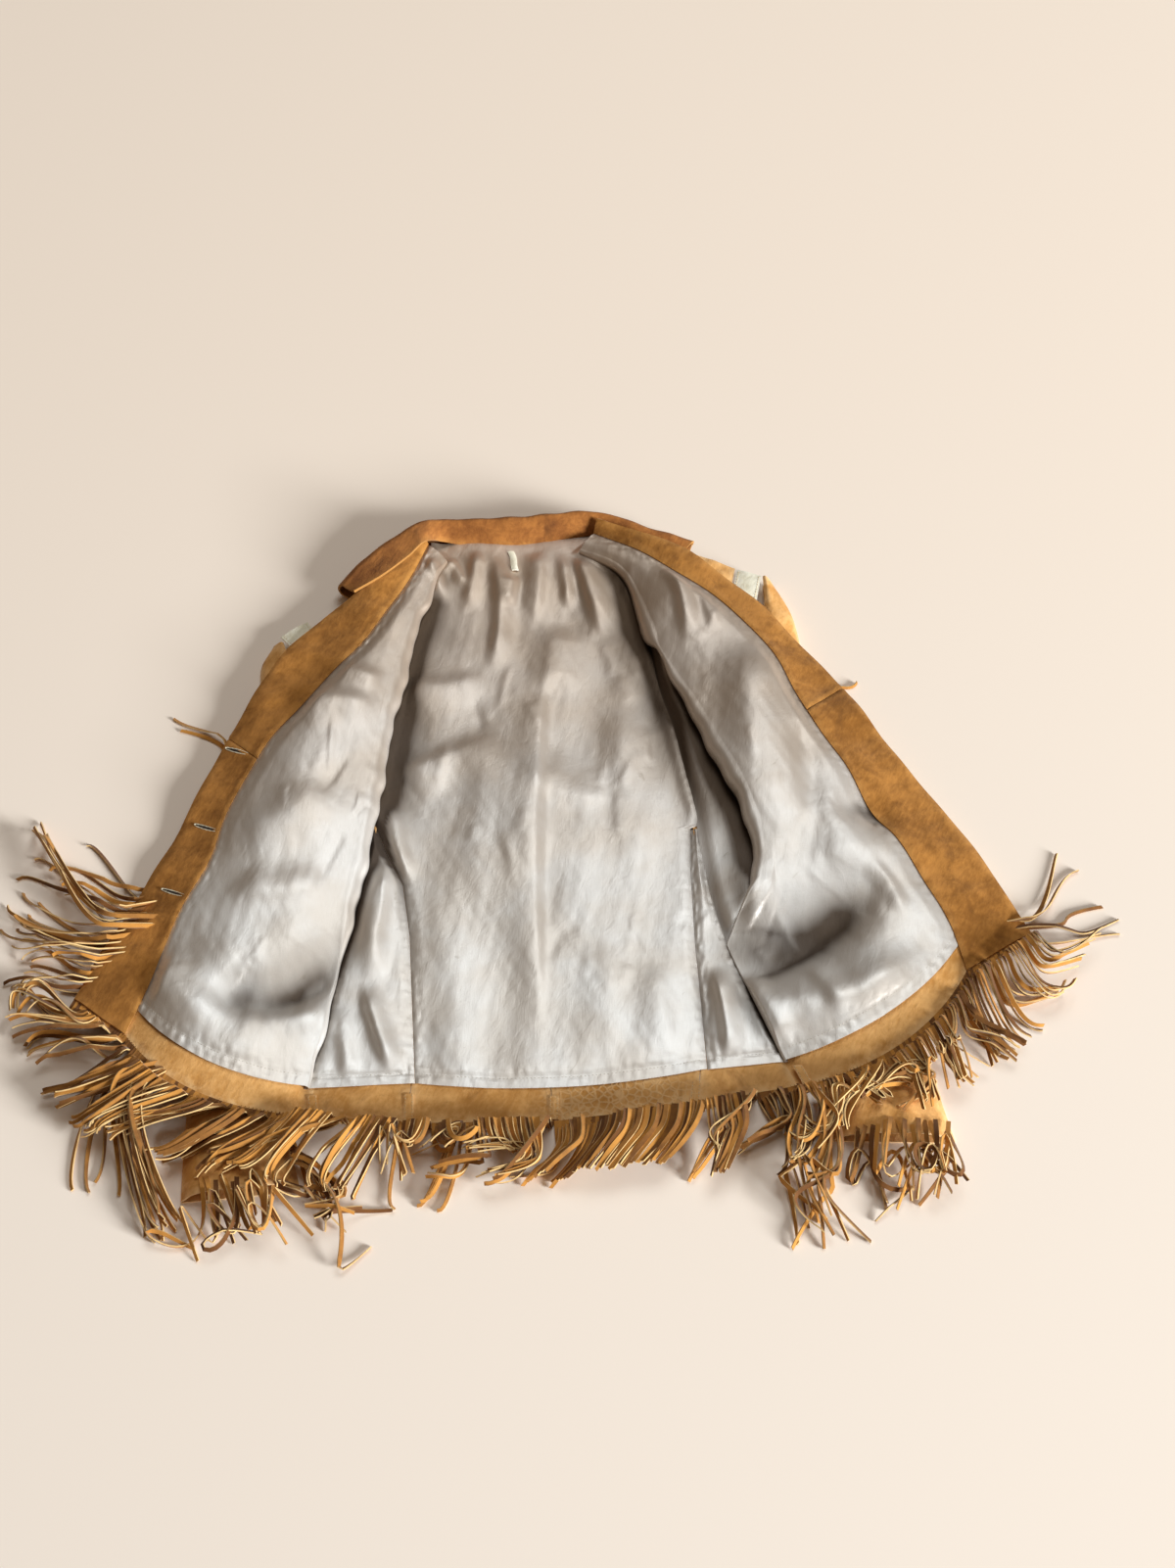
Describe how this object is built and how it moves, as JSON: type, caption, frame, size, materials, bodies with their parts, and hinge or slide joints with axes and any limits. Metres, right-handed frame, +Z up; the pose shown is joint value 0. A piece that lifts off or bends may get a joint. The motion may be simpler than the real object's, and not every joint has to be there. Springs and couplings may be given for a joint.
{
  "type": "fringed leather jacket",
  "caption": "Woman's fringed buckskin jacket lying open on its back, satin lining up, sleeves beneath the fronts, collar behind.",
  "frame": {"origin": "centre of the laid-out jacket's footprint, on the surface it lies on", "axes": "+X towards the wearer's left, across the jacket; +Y from hem to collar; +Z up from the surface, out of the lining"},
  "size_m": [0.916, 0.7642, 0.0345],
  "materials": {
    "buckskin": "golden tan suede, brushed nap",
    "collar_hide": "worn reddish tan suede",
    "cream_hide": "cream suede",
    "fringe_hide": "cut tan suede strips with pale edges",
    "satin_lining": "silver-grey satin",
    "horn": "dark brown horn"
  },
  "bodies": {
    "root": {"back_left": "buckskin", "back_right": "buckskin", "button_1": "horn", "button_2": "horn", "button_3": "horn", "collar": "collar_hide", "facing_lower_left": "buckskin", "facing_lower_right": "buckskin", "facing_upper_left": "buckskin", "facing_upper_right": "buckskin", "front_left": "buckskin", "front_right": "buckskin", "hanger_loop": "cream_hide", "hem_fringe_back_left": "fringe_hide", "hem_fringe_back_right": "fringe_hide", "hem_fringe_front_left": "fringe_hide", "hem_fringe_front_right": "fringe_hide", "hem_fringe_side_left": "fringe_hide", "hem_fringe_side_right": "fringe_hide", "lining_back": "satin_lining", "lining_front_left": "satin_lining", "lining_front_right": "satin_lining", "lining_side_left": "satin_lining", "lining_side_right": "satin_lining", "shoulder_band_left": "cream_hide", "shoulder_band_right": "cream_hide", "shoulder_left": "buckskin", "shoulder_right": "buckskin", "side_body_left": "buckskin", "side_body_right": "buckskin", "sleeve_fringe_left": "fringe_hide", "sleeve_fringe_right": "fringe_hide", "sleeve_top_left": "buckskin", "sleeve_top_right": "buckskin", "sleeve_under_left": "buckskin", "sleeve_under_right": "buckskin"}
  },
  "joints": []
}
